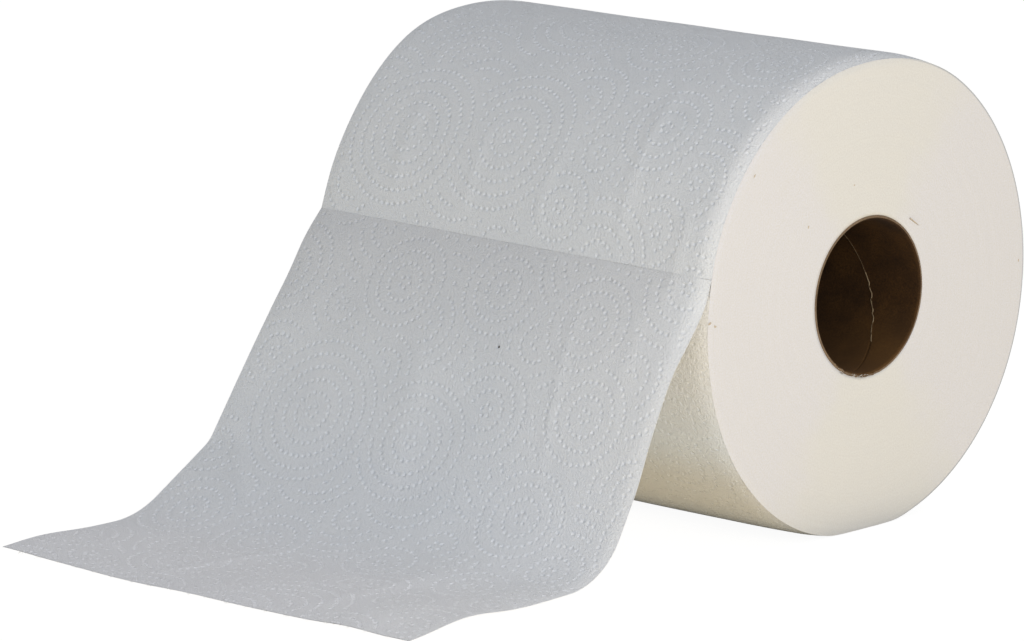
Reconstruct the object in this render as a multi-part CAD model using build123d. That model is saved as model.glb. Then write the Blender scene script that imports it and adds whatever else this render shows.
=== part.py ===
from build123d import *
import os
from math import atan2, cos, degrees, radians, sin, sqrt, tan

# A paper wiper roll that lies on its side, with its last sheet pulled off and resting on the table.
#
# X runs along the roll's axis, Z is up, and the loose sheet comes off towards -Y.
# The origin is the middle of the flat spot on which the soft roll rests.
# The near end of the roll is the one at +X, and the far end is the one at -X.
# The object is two real pieces: a board core, and one long web of tissue wound on it.

# Winding: the web's width and thickness, and the roll that it makes
roll_width = 220.0
roll_radius = 98.0
web_thickness = 0.5
rim_bevel = 1.0
flat_sag = 1.7

# The soft roll bulges at its lower front, where the wound paper has sunk towards the table.
# The bulge curves tighter than the roll, so it runs out into the round side above and below.
bulge_angle = -122.0
bulge_height = 2.3
bulge_tightness = 4.0

# Core: a board tube, sawn off together with the roll
core_radius = 33.0
core_wall = 1.5
glue_gap = 0.1

# Turns: the spiral line that shows on both end faces
turn_pitch = 9.0
turn_line_width = 1.2
turn_line_depth = 0.4
turn_margin = 4.0

# Perforations: slits and the bonds between them, in rows one sheet apart
sheet_length = 228.0
slit_length = 8.0
bond_length = 2.4
slit_width = 0.6

# Where the loose sheet leaves the roll: angles turn from +Y towards +Z
leave_angle = 165.0
leave_run = 5.0
crease_radius = 3.0

# How the loose sheet's two edges run down from the crease, as pairs: a run's angle from the
# vertical, and the height of the sheet's upper side above the table where that run ends.
# The last run ends at the foot of the slope, and from there the sheet lies along the table.
near_runs = [(31.5, 81.0), (21.5, 40.0), (32.0, 5.3)]
near_bend_radii = [90.0, 90.0, 34.0]
near_end_height = 2.0
far_runs = [(37.0, 82.0), (35.0, 27.5), (58.0, 2.6)]
far_bend_radii = [300.0, 15.0, 45.0]
far_end_height = 1.6

axis_height = roll_radius - flat_sag
half_width = roll_width / 2
bore_radius = core_radius + glue_gap


def direction(angle):
    """A unit vector in the YZ plane, at an angle from +Y towards +Z."""
    return Vector(cos(radians(angle)), sin(radians(angle)))


def upright(x):
    """The plane across the roll at x: its own x axis is Y, and its own y axis is Z."""
    return Plane.YZ.offset(x)


def half_turn(radius, centre, start_angle):
    """Half of a round block of paper with crushed rims, turned about an axis along X."""
    outward = direction(start_angle)
    profile = Pos(0, radius / 2) * Rectangle(roll_width, radius)
    profile = chamfer(profile.vertices().group_by(Axis.Y)[-1], rim_bevel)
    start_plane = Plane(
        origin=(0, centre.X, centre.Y),
        x_dir=(1, 0, 0),
        z_dir=(0, -outward.Y, outward.X),
    )
    turning_axis = Axis(start_plane.origin, (-1, 0, 0))
    return revolve(start_plane * profile, axis=turning_axis, revolution_arc=180)


def wound_turns():
    """The wound paper: its outside drops by one web thickness in a turn, which leaves a step."""
    centre = Vector(0, axis_height)
    bulge_centre = centre + direction(bulge_angle) * (bulge_height + bulge_tightness)
    shift = direction(leave_angle) * (web_thickness / 2)
    outer_half = half_turn(roll_radius, centre, leave_angle)
    inner_half = half_turn(roll_radius - web_thickness / 2, centre - shift, leave_angle - 180)
    bulge = half_turn(roll_radius - bulge_tightness, bulge_centre, bulge_angle + 90)
    table_plane = Plane.XY
    return split(outer_half + inner_half + bulge, bisect_by=table_plane, keep=Keep.TOP)


def turn_line():
    """The spiral line on an end face: half circles about two centres, half a pitch apart."""
    half_pitch = turn_pitch / 2
    first_radius = core_radius + turn_margin
    last_radius = roll_radius - rim_bevel - turn_margin - turn_line_width
    halves = int((last_radius - first_radius) // half_pitch)
    centres = [Vector(0, axis_height), Vector(0, axis_height) + direction(leave_angle) * half_pitch]
    inner_arcs, outer_arcs = [], []
    for half in range(halves):
        centre = centres[half % 2]
        radius = first_radius + half * half_pitch
        start = leave_angle + 180 * (half % 2)
        inner_arcs.append(CenterArc(centre, radius, start, 180))
        outer_arcs.append(CenterArc(centre, radius + turn_line_width, start, 180))
    first_cap = Line(inner_arcs[0] @ 0, outer_arcs[0] @ 0)
    last_cap = Line(inner_arcs[-1] @ 1, outer_arcs[-1] @ 1)
    return make_face(inner_arcs + [first_cap, last_cap] + outer_arcs)


def corner_saving(turn, radius):
    """How much shorter a path gets when a corner of this turn, in degrees, is rounded."""
    half = radians(abs(turn)) / 2
    return radius * 2 * (tan(half) - half)


def sheet_edge(runs, bend_radii, end_height):
    """One edge of the loose sheet's upper side: its path, its crease and its torn end."""
    root = Vector(0, axis_height) + direction(leave_angle) * roll_radius
    crease = root + direction(leave_angle + 90) * leave_run
    corners = [crease]
    for angle, height in runs:
        drop = corners[-1].Y - height
        corners.append(corners[-1] - Vector(drop * tan(radians(angle)), drop))
    hung = sum((low - high).length for high, low in zip(corners, corners[1:]))
    angles = [angle for angle, height in runs] + [90]
    turns = [after - before for before, after in zip(angles, angles[1:])]
    saved = sum(corner_saving(turn, radius) for turn, radius in zip(turns, bend_radii))
    lying = sheet_length - hung + saved
    end_drop = corners[-1].Y - end_height
    end = corners[-1] - Vector(sqrt(lying**2 - end_drop**2), end_drop)
    return FilletPolyline(root, *corners, end, radius=[crease_radius] + bend_radii), crease, end


def slit_row(near_point, far_point, tilt):
    """The cutters of one row of perforations, which runs from the near edge to the far edge."""
    pitch = slit_length + bond_length
    count = int(roll_width // pitch)
    skew = degrees(atan2(near_point.X - far_point.X, roll_width))
    cutter = Box(slit_length, slit_width, 6 * web_thickness)
    cutters = []
    for number in range(count):
        x = (number - (count - 1) / 2) * pitch
        share = (x + half_width) / roll_width
        point = far_point + (near_point - far_point) * share
        cutters.append(Pos(x, point.X, point.Y) * Rot(tilt, 0, skew) * cutter)
    return cutters


def loose_sheet():
    """The sheet that has come off the roll: a thin web lofted between its two edges."""
    near_edge, near_crease, near_end = sheet_edge(near_runs, near_bend_radii, near_end_height)
    far_edge, far_crease, far_end = sheet_edge(far_runs, far_bend_radii, far_end_height)
    near_section = make_face(offset(near_edge, amount=web_thickness, side=Side.LEFT))
    far_section = make_face(offset(far_edge, amount=web_thickness, side=Side.LEFT))
    sheet = loft([upright(-half_width) * far_section, upright(half_width) * near_section], ruled=True)
    crease_tilt = leave_angle - 180
    sheet -= slit_row(near_crease, far_crease, crease_tilt + 90)
    sheet -= slit_row(near_end, far_end, 0)
    return sheet


def paper_web():
    """The whole web: its wound turns and the loose sheet, in one piece."""
    web = wound_turns() + loose_sheet()
    web -= extrude(upright(0) * Pos(0, axis_height) * Circle(bore_radius), amount=roll_width, both=True)
    for side in (-1, 1):
        web -= extrude(upright(side * half_width) * turn_line(), amount=-side * turn_line_depth)
    return web


def core_tube():
    """The board core: a plain tube as long as the roll is wide."""
    ring = Circle(core_radius) - Circle(core_radius - core_wall)
    return extrude(upright(0) * Pos(0, axis_height) * ring, amount=half_width, both=True)


nodes = {
    "paper_web": paper_web(),
    "core_tube": core_tube(),
}

os.makedirs("parts", exist_ok=True)
for name, solid in nodes.items():
    export_step(solid, f"parts/{name}.step")
    box = solid.bounding_box()
    print(name, len(solid.solids()), "solid,", round(solid.volume / 1000, 1), "cm3,", box.min, box.max)
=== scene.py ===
# %% [markdown]
# # A paper wiper roll
# A roll of embossed paper wipers lies on its side. Its last sheet has been pulled off towards the
# viewer and rests on the table, still joined to the roll along a line of perforations.
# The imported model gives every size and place, and this script gives the looks. The first cell
# loads that model as a fixed frame, and nothing in it is moved or reshaped afterwards.

# %% Load the frame
import math
import bpy
import numpy as np
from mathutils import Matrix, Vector
from mathutils.geometry import delaunay_2d_cdt
from mathutils.kdtree import KDTree


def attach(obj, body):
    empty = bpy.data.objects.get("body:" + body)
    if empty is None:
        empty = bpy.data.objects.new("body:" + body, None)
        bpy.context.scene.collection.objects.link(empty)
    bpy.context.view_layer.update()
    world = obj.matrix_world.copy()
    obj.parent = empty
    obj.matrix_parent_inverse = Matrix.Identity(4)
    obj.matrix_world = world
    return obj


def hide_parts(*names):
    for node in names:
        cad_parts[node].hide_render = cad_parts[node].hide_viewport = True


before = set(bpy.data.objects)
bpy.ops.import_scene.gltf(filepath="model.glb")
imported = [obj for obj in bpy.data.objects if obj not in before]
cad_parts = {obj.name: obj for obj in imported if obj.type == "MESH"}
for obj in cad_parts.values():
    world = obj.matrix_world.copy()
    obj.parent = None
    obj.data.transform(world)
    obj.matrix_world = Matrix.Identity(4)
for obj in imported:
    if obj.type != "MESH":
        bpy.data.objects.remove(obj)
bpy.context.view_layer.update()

BODY = "root"  # the model's one body, on which every piece rides

# %% [markdown]
# ## The camera
# The camera comes first, so that every later step can be looked at through it. A long lens from
# about two metres away keeps the roll's two ends nearly parallel, as a product photograph does.
# Its place was found by laying the roll's known circles and edges over the photograph.

# %% Make the camera
CAMERA_PLACE = (1.5110, -1.6285, 0.5318)  # metres
CAMERA_AZIMUTH, CAMERA_ELEVATION = 44.55, 11.74  # degrees round the roll and above the table
LENS, SENSOR_WIDTH = 190.7, 36.0  # millimetres

camera = bpy.data.objects.new("camera", bpy.data.cameras.new("camera"))
camera.data.lens, camera.data.sensor_width = LENS, SENSOR_WIDTH
camera.location = CAMERA_PLACE
camera.rotation_euler = (math.radians(90 - CAMERA_ELEVATION), 0, math.radians(CAMERA_AZIMUTH))
bpy.context.collection.objects.link(camera)
bpy.context.scene.camera = camera
print("camera at", CAMERA_PLACE, "with a", LENS, "mm lens")

# %% [markdown]
# ## Two small helpers for materials
# A colour picker shows sRGB values, but the renderer adds up light in linear values, so every
# colour here is written as a hex code and turned to linear by one function. A material is a
# small network of nodes, and one function adds a node, sets its options and links its inputs.

# %% Colour and node helpers
MIX_FACTOR, MIX_A, MIX_B, MIX_RESULT = 0, 6, 7, 2  # the numbers of a Mix node's sockets for colours


def linear(hex_code):
    """The linear colour of an sRGB hex code such as E8E6E1, with an alpha of 1."""
    parts = [int(hex_code[start:start + 2], 16) / 255 for start in (0, 2, 4)]
    return [p / 12.92 if p <= 0.04045 else ((p + 0.055) / 1.055) ** 2.4 for p in parts] + [1.0]


def add_node(tree, kind, inputs=(), **options):
    """Add a node to a tree. An input's value is a number, a colour, or another node's output."""
    node = tree.nodes.new(kind)
    for name, value in options.items():
        setattr(node, name, value)
    for name, value in dict(inputs).items():
        if isinstance(value, bpy.types.NodeSocket):
            tree.links.new(value, node.inputs[name])
        else:
            node.inputs[name].default_value = value
    return node


def new_material(name):
    """An empty material and its node tree."""
    material = bpy.data.materials.new(name)
    material.use_nodes = True
    material.node_tree.nodes.clear()
    return material, material.node_tree


print("white paper in linear light:", [round(part, 3) for part in linear("E8EAEC")])

# %% [markdown]
# ## The table and the white background
# A product photograph like this one is taken on a light table, whose pale top glows a little.
# It should look white to the camera, yet light the underside of the roll in a warm tone. Light
# Path tells the two jobs apart: rays from the camera, and rays seen in gloss, get a white that
# still darkens in the roll's shadow, while all other rays get a warm, matt, softly lit surface.

# %% Make the table
TABLE_SIZE = 30.0  # metres, so that its edge is never in view
BACKGROUND_GLOW, BACKGROUND_MATT = 0.94, "6C6C6C"  # a little matt keeps the shadow in the white
# The third colour below is the table's painted shadow under the roll.
TABLE_COLOUR, TABLE_GLOW, UNDER_ROLL_PAINTED_SHADE = "F2E6CC", 0.36, "9C937C"
ROLL_SHADE = (0.036, 0.072)  # metres from the roll's axis, where the glow and the full table colour set in; nearer the axis the table gets a painted shadow
END_SHADE = (0.112, 0.130)  # and metres along the axis, where they set in past the near end


def seen_directly(tree):
    """1 for the rays that show the background itself: camera, glossy and transmission rays."""
    path = add_node(tree, "ShaderNodeLightPath")
    gloss = add_node(tree, "ShaderNodeMath", {0: path.outputs["Is Camera Ray"],
                                              1: path.outputs["Is Glossy Ray"]}, operation="MAXIMUM")
    both = add_node(tree, "ShaderNodeMath", {0: gloss.outputs[0],
                                             1: path.outputs["Is Transmission Ray"]}, operation="MAXIMUM")
    return both.outputs[0]


table_paint, tree = new_material("matt_laminate_table")
place = add_node(tree, "ShaderNodeTexCoord").outputs["Object"]
spot = add_node(tree, "ShaderNodeSeparateXYZ", {0: place})
off_axis = add_node(tree, "ShaderNodeMath", {0: spot.outputs["Y"]}, operation="ABSOLUTE")
beside = add_node(tree, "ShaderNodeMapRange", {
    "Value": off_axis.outputs[0], "From Min": ROLL_SHADE[0], "From Max": ROLL_SHADE[1]})
beyond = add_node(tree, "ShaderNodeMapRange", {
    "Value": spot.outputs["X"], "From Min": END_SHADE[0], "From Max": END_SHADE[1]})
clear = add_node(tree, "ShaderNodeMath", {0: beside.outputs[0], 1: beyond.outputs[0]}, operation="MAXIMUM")
# Painted shadow: near the roll the matt top is darkened and its glow is left out.
top = add_node(tree, "ShaderNodeMix", {
    MIX_FACTOR: clear.outputs[0], MIX_A: linear(UNDER_ROLL_PAINTED_SHADE), MIX_B: linear(TABLE_COLOUR)}, data_type="RGBA")
matt = add_node(tree, "ShaderNodeBsdfDiffuse", {"Color": top.outputs[MIX_RESULT]})
strength = add_node(tree, "ShaderNodeMath", {0: clear.outputs[0], 1: TABLE_GLOW}, operation="MULTIPLY")
lamps = add_node(tree, "ShaderNodeEmission", {
    "Color": linear(TABLE_COLOUR), "Strength": strength.outputs[0]})
lit = add_node(tree, "ShaderNodeAddShader", {0: matt.outputs[0], 1: lamps.outputs[0]})
glow = add_node(tree, "ShaderNodeEmission", {"Strength": BACKGROUND_GLOW})
grey = add_node(tree, "ShaderNodeBsdfDiffuse", {"Color": linear(BACKGROUND_MATT)})
white = add_node(tree, "ShaderNodeAddShader", {0: glow.outputs[0], 1: grey.outputs[0]})
choice = add_node(tree, "ShaderNodeMixShader", {
    0: seen_directly(tree), 1: lit.outputs[0], 2: white.outputs[0]})
add_node(tree, "ShaderNodeOutputMaterial", {"Surface": choice.outputs[0]})

half = TABLE_SIZE / 2
table_corners = [(-half, -half, 0), (half, -half, 0), (half, half, 0), (-half, half, 0)]
table_mesh = bpy.data.meshes.new("table")
table_mesh.from_pydata(table_corners, [], [(0, 1, 2, 3)])
table_mesh.materials.append(table_paint)
table = bpy.data.objects.new("table", table_mesh)
bpy.context.collection.objects.link(table)
print("table of", TABLE_SIZE, "m")

# %% [markdown]
# ## The light
# The cut end of the roll is the brightest face in the photograph, the hanging sheet comes next
# and the top is dimmer, so the main light stands low on the right, in front. It is a large soft
# box, because no shadow has a sharp edge. A small one close to the near end makes the light fall
# off to the left. The studio fills the rest: its walls are a slightly cool world, and its
# ceiling is a little warmer and dimmer.

# %% Light the scene
WALLS, CEILING, WALL_STRENGTH, CEILING_STRENGTH = "DFEDFF", "FFF5E8", 0.575, 0.50
LAMP_COLOUR, LAMP_TARGET = "FFFDFA", (0.0, -0.06, 0.09)  # the target is in metres
LAMPS = [  # name, place and size in metres, and power in watts
    ("soft_box", (1.75, -0.95, 0.58), 1.0, 10.2),
    ("near_soft_box", (0.62, -0.30, 0.35), 0.24, 0.38),
]

world = bpy.data.worlds.new("studio")
bpy.context.scene.world = world
world.use_nodes = True
tree = world.node_tree
tree.nodes.clear()
skyward = add_node(tree, "ShaderNodeTexCoord").outputs["Generated"]
up = add_node(tree, "ShaderNodeSeparateXYZ", {0: skyward})
fall = add_node(tree, "ShaderNodeMapRange", {
    "Value": up.outputs["Z"], "To Min": WALL_STRENGTH, "To Max": CEILING_STRENGTH})
tint = add_node(tree, "ShaderNodeMix", {
    MIX_FACTOR: up.outputs["Z"], MIX_A: linear(WALLS), MIX_B: linear(CEILING)}, data_type="RGBA")
sky = add_node(tree, "ShaderNodeBackground", {
    "Color": tint.outputs[MIX_RESULT], "Strength": fall.outputs[0]})
backdrop = add_node(tree, "ShaderNodeBackground", {"Color": linear("FFFFFF"), "Strength": 1.0})
choice = add_node(tree, "ShaderNodeMixShader", {
    0: seen_directly(tree), 1: sky.outputs[0], 2: backdrop.outputs[0]})
add_node(tree, "ShaderNodeOutputWorld", {"Surface": choice.outputs[0]})

for name, lamp_place, lamp_size, power in LAMPS:
    lamp = bpy.data.objects.new(name, bpy.data.lights.new(name, "AREA"))
    lamp.data.size, lamp.data.energy = lamp_size, power
    lamp.data.color = linear(LAMP_COLOUR)[:3]
    lamp.location = lamp_place
    lamp.rotation_euler = (Vector(lamp_place) - Vector(LAMP_TARGET)).to_track_quat("Z", "Y").to_euler()
    bpy.context.collection.objects.link(lamp)
    print(name, "of", power, "W")
bpy.context.scene.view_settings.view_transform = "Standard"

# %% [markdown]
# ## The web's path
# Paper makers call the long strip on a roll a web. Each place on it has two coordinates: s, in
# millimetres along the web from the open perforation, and x across it. Minus s runs back up
# over the roll, turn after turn, and plus s runs down the loose sheet to its torn end.
# The loose sheet is drawn by its slope. At each edge the slope changes from run to run, and
# between the edges it is blended, so the sheet bends like paper and never stretches. Just below
# the perforation the near edge still hugs the roll's rim before it swings out.

# %% Sizes of the web
MM = 0.001
HALF_WIDTH, ROLL_RADIUS, AXIS_HEIGHT = 110.0, 98.0, 96.3
WEB_THICKNESS, SHEET_LENGTH = 0.5, 228.0
LEAVE_ANGLE, LEAVE_RUN = math.radians(165.0), 5.0  # where the web leaves the roll, from +Y
# Each run of an edge is its angle from the vertical and the height at which it ends.
NEAR_RUNS, NEAR_BENDS, NEAR_END = [(31.5, 81.0), (21.5, 40.0), (32.0, 5.3)], [90.0, 90.0, 34.0], 2.0
FAR_RUNS, FAR_BENDS, FAR_END = [(37.0, 82.0), (35.0, 27.5), (58.0, 2.6)], [300.0, 15.0, 45.0], 1.6
PERFORATION_Y = ROLL_RADIUS * math.cos(LEAVE_ANGLE) - LEAVE_RUN * math.sin(LEAVE_ANGLE)
PERFORATION_Z = AXIS_HEIGHT + ROLL_RADIUS * math.sin(LEAVE_ANGLE) + LEAVE_RUN * math.cos(LEAVE_ANGLE)
print("perforation at y", round(PERFORATION_Y, 1), "z", round(PERFORATION_Z, 1))


# %% Slope of an edge
def edge_slope(runs, bends, end_height, s):
    """The edge's angle from the vertical at each s: straight runs joined by round bends."""
    angles = [math.radians(angle) for angle, height in runs]
    heights = [PERFORATION_Z] + [height for angle, height in runs]
    lengths = [(high - low) / math.cos(angle) for high, low, angle in zip(heights, heights[1:], angles)]
    last = math.pi / 2
    for attempt in range(4):  # the lying run's length and its slope depend on each other
        turns = [after - before for before, after in zip(angles, angles[1:] + [last])]
        cuts = [bend * math.tan(abs(turn) / 2) for bend, turn in zip(bends, turns)]
        arcs = [bend * abs(turn) for bend, turn in zip(bends, turns)]
        lying = SHEET_LENGTH - sum(lengths) + 2 * sum(cuts) - sum(arcs)
        last = math.pi / 2 - math.asin((heights[-1] - end_height) / lying)
    stations, slopes, at = [0.0], [angles[0]], 0.0
    for length, cut_before, cut, arc, angle, after in zip(
            lengths, [0.0] + cuts, cuts, arcs, angles, angles[1:] + [last]):
        at += length - cut_before - cut
        stations += [at, at + arc]
        slopes += [angle, after]
        at += arc
    return np.interp(s, stations, slopes)


# %% Path of the loose sheet
STEP, LANES = 0.5, 45
CLING_END, CLING_BLEND = 11.0, 4.0  # how far down the near edge hugs the roll, and how it lets go
SWING_END, SWING_BLEND = 37.0, 6.0  # and the same for the stretch that swings out
CLING_SLOPE, SWING_SLOPE = math.radians(-14.0), math.radians(7.0)
CLING_WIDTH = 28.0  # how far in from the near edge it shows
middles = np.arange(STEP / 2, SHEET_LENGTH, STEP)
shares = np.linspace(0, 1, LANES)
slope = (edge_slope(FAR_RUNS, FAR_BENDS, FAR_END, middles)[:, None] * (1 - shares)
         + edge_slope(NEAR_RUNS, NEAR_BENDS, NEAR_END, middles)[:, None] * shares)
clinging = np.interp(
    middles,
    [CLING_END - CLING_BLEND, CLING_END + CLING_BLEND, SWING_END - SWING_BLEND, SWING_END + SWING_BLEND],
    [CLING_SLOPE, SWING_SLOPE, SWING_SLOPE, 0])
slope += clinging[:, None] * np.clip(1 - (1 - shares) * 2 * HALF_WIDTH / CLING_WIDTH, 0, 1) ** 2
start = np.zeros((1, LANES))
sheet_y = PERFORATION_Y - np.vstack([start, np.cumsum(np.sin(slope), 0) * STEP])
sheet_z = PERFORATION_Z - np.vstack([start, np.cumsum(np.cos(slope), 0) * STEP])


def read_lanes(values, s, x):
    """A value of the loose sheet between the rows and lanes at which it was worked out."""
    short = 1e-3  # keeps the last row and lane inside the table of values
    row = np.clip(s / STEP, 0, len(values) - 1 - short)
    lane = np.clip((x + HALF_WIDTH) / (2 * HALF_WIDTH) * (LANES - 1), 0, LANES - 1 - short)
    i, j = row.astype(int), lane.astype(int)
    a, b = row - i, lane - j
    upper = values[i, j] * (1 - b) + values[i, j + 1] * b
    lower = values[i + 1, j] * (1 - b) + values[i + 1, j + 1] * b
    return upper * (1 - a) + lower * a


print("torn end at y", sheet_y[-1, 0].round(1), "far and", sheet_y[-1, -1].round(1), "near")

# %% [markdown]
# ## The roll's shape
# On the roll the web follows a spiral that drops by its own thickness in a turn. Sawing and
# handling crush the rims, so the side curves inwards over the last few millimetres before each
# cut end. The sheet that has come off keeps that curl along its two edges, and only slowly loses
# it. At its lower front the soft roll bulges, where the paper has sunk towards the table.

# %% Shape of the bare web
TURN_LENGTH = 2 * math.pi * ROLL_RADIUS
RIM_WIDTH, RIM_LEAST, RIM_MOST, RIM_INSET = 9.0, 0.4, 2.7, 0.9
FAR_HANDLED = 0.15  # the far rim was hardly touched
# Stretches of s, in mm, over which the handling of the rim grows or fades, and by how much
OVER_THE_TOP = (-190.0, -120.0)
UNDER_THE_SHEET, LOW_FRONT, FRONT_FADE = (-10.0 - TURN_LENGTH, 35.0 - TURN_LENGTH), (-520.0, -455.0), 0.5
UPPER_SHEET, UPPER_FADE, LOWER_SHEET, LOWER_FADE = (0.0, 90.0), 0.6, (90.0, SHEET_LENGTH), 0.25
INSET_ENDS = (0.0, 40.0)
BULGE_ANGLE, BULGE_REACH, BULGE_HEIGHT = math.radians(-122.0), math.radians(50.0), 2.3
BULGE_MIDDLE = 1.8  # how much further the bulge stands out halfway along the roll
BULGE_FALL = 1.3


def smooth(low, high, value):
    """0 below low, 1 above high, and an even rise between them."""
    share = np.clip((value - low) / (high - low), 0, 1)
    return share * share * (3 - 2 * share)


def rim_crush(s, side):
    """How deep the rim is crushed: most at the near end, over the top and the front."""
    front = 1 - FRONT_FADE * smooth(*UNDER_THE_SHEET, s) - FRONT_FADE * smooth(*LOW_FRONT, s)
    handled = np.maximum(smooth(*OVER_THE_TOP, s), front)
    handled = handled * np.where(side > 0, 1.0, FAR_HANDLED)
    curl_left = 1 - UPPER_FADE * smooth(*UPPER_SHEET, s) - LOWER_FADE * smooth(*LOWER_SHEET, s)
    return (RIM_LEAST + (RIM_MOST - RIM_LEAST) * handled) * curl_left


def rim_inset(s, side):
    """How far the crushed rim of the wound roll lies inside the full width."""
    return RIM_INSET * rim_crush(s, side) / RIM_MOST * (1 - smooth(*INSET_ENDS, s))


def rim_share(x):
    """0 over most of the width, rising to 1 at the edge."""
    return np.clip(1 - (HALF_WIDTH - np.abs(x)) / RIM_WIDTH, 0, 1)


def side_radius(angle, turned, x):
    """The radius of the web's outer face at an angle from +Y, after so much turning."""
    away = (angle - BULGE_ANGLE + math.pi) % (2 * math.pi) - math.pi
    height = BULGE_HEIGHT + BULGE_MIDDLE * (1 - (x / HALF_WIDTH) ** 2)
    bulge = height * np.clip(1 - (away / BULGE_REACH) ** 2, 0, 1) ** BULGE_FALL
    return ROLL_RADIUS + WEB_THICKNESS * turned / (2 * math.pi) + bulge


def bare_web(s, x):
    """Points of the smooth web, in millimetres, without creases or embossing."""
    turned = np.minimum(s + LEAVE_RUN, 0) / ROLL_RADIUS
    angle = LEAVE_ANGLE + turned
    radius = side_radius(angle, turned, x)
    run = np.clip(s + LEAVE_RUN, 0, LEAVE_RUN)
    y = radius * np.cos(angle) - run * np.sin(angle)
    z = AXIS_HEIGHT + radius * np.sin(angle) + run * np.cos(angle)
    loose = s > 0
    y = np.where(loose, read_lanes(sheet_y, s, x), y)
    z = np.where(loose, read_lanes(sheet_z, s, x), z)
    return np.stack([x, y, z], -1)


def web_normals(s, x):
    """Unit vectors out of the web's outer face, from its shape a little to each side."""
    d, past_perforation = 0.3, 0.01
    s_low = np.where(s > 0, np.maximum(s - d, past_perforation), s - d)
    s_high = np.where(s > 0, s + d, np.minimum(s + d, 0))
    x_low, x_high = np.maximum(x - d, -HALF_WIDTH), np.minimum(x + d, HALF_WIDTH)
    along = bare_web(s_high, x) - bare_web(s_low, x)
    across = bare_web(s, x_high) - bare_web(s, x_low)
    normals = np.cross(along, across)
    return normals / np.linalg.norm(normals, axis=-1, keepdims=True)


print("a point on top of the roll:", bare_web(np.array([-133.0]), np.array([0.0])).round(1))

# %% [markdown]
# ## Creases and waves
# Thin paper under tension isn't smooth. Soft ridges run along the web where it was pulled off,
# and the part that lies on the table waves a little. Each ridge is one bump across the web that
# drifts sideways as it runs down, and the waves are a few sines with random phases. A seed keeps
# them the same in every run.

# %% Relief of the web
# Ridges: s and x where each one starts, s and x where it ends, half width and height, in mm.
RIDGES = [
    (-95, 52, 4, 60, 3.2, 0.55),
    (-58, -74, -6, -70, 3.5, 0.50),
    (-52, -30, -3, -28, 3.0, 0.35),
    (-60, 14, -2, 12, 3.4, 0.35),
    (-34, 92, 22, 92, 3.0, 0.45),
    (8, 49, 104, 63, 2.4, 0.40),
    (30, -26, 118, -8, 9.0, 0.70),
    (4, 84, 70, 88, 4.0, 0.35),
    (96, -108, 140, -64, 5.0, 0.60),
    (150, -20, 226, -42, 3.0, 0.45),
    (140, 52, 222, 46, 6.0, 0.60),
    (168, -46, 290, -46, 34.0, -1.1),
    (192, 78, 268, 80, 15.0, 1.0),
]
# Where the web's edges stand out or in: s, side, height and run along the edge, in mm.
EDGE_LIFTS = [
    (197, 1, 3.0, 21), (76, 1, 2.4, 34), (209, -1, 1.6, 20), (14, -1, 1.6, 14), (-38, -1, -0.8, 22),
    (-92, -1, 1.4, 24), (-205, 1, 1.2, 60), (-345, 1, 0.5, 90), (-458, 1, -0.6, 24),
]
RIM_CURVE, LIFT_CURVE = 2.2, 2.5  # powers: the higher, the nearer to the edge the web turns
RIDGE_FADE = 0.3  # the share of a ridge over which it grows, and over which it fades
# The outer turn's hidden start is tucked under the turn that lies on it, to clear its dots.
TUCK, TUCK_DEPTH = (-2.0 - TURN_LENGTH, 12.0 - TURN_LENGTH), 1.1
# How freely the web waves: on the roll, and what is added or taken away over stretches of s, in mm
WAVE_HEIGHT = 0.12
WAVE_CHANGES = [(-60, 0, 0.35), (110, 160, 0.25), (175, 220, -0.5)]
WAVE_SEED, WAVE_STRETCH = 11, 1.6
wave_random = np.random.default_rng(WAVE_SEED)
WAVES = [(wave_random.uniform(0.02, 0.05), wave_random.uniform(0.05, 0.16), phase)
         for phase in wave_random.uniform(0, 2 * math.pi, 6)]


def relief(s, x):
    """How far the web stands out of its bare shape, in millimetres."""
    height = -rim_crush(s, x) * rim_share(x) ** RIM_CURVE
    for s_top, side, rise, run in EDGE_LIFTS:
        beside = np.clip(0.5 + side * x / (2 * HALF_WIDTH), 0, 1)
        height = height + rise * beside ** LIFT_CURVE * np.exp(-((s - s_top) / run) ** 2)
    for s_from, x_from, s_to, x_to, width, rise in RIDGES:
        share = (s - s_from) / (s_to - s_from)
        centre = x_from + (x_to - x_from) * share
        fade = smooth(0, RIDGE_FADE, share) * (1 - smooth(1 - RIDGE_FADE, 1, share))
        height = height + rise * fade * np.exp(-((x - centre) / width) ** 2)
    height = height - TUCK_DEPTH * (1 - smooth(*TUCK, s))
    wave = sum(np.sin(a * s * WAVE_STRETCH + b * x + phase) for a, b, phase in WAVES) / len(WAVES)
    freedom = WAVE_HEIGHT + sum(more * smooth(low, high, s) for low, high, more in WAVE_CHANGES)
    return height + wave * freedom


print("relief along the middle:", relief(np.arange(-100.0, 229.0, 60.0), np.zeros(6)).round(2))

# %% [markdown]
# ## The perforation
# A row of knife cuts, 8 mm long with bonds of 2.4 mm between them, crosses the web. Between two
# bonds the upper sheet's lip springs out a little and catches the light. At the bonds both
# sheets stay level. At the torn end the bonds were pulled apart and left small tabs.

# %% Lip and bonds
SLIT_LENGTH, BOND_LENGTH = 8.0, 2.4
BOND_PITCH = SLIT_LENGTH + BOND_LENGTH
BOND_START, BOND_FULL = 0.3, 0.6  # how far before a slit's end the bond sets in, and how far past it is full
LIP_RISE, LIP_RUN, LIP_ENDS = 0.15, 3.0, (4.0, 12.0)  # the lip dies out towards the rims
TAB_LENGTH, TAB_UNEVEN, TAB_WAVE = 0.7, 0.4, 3.7


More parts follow.
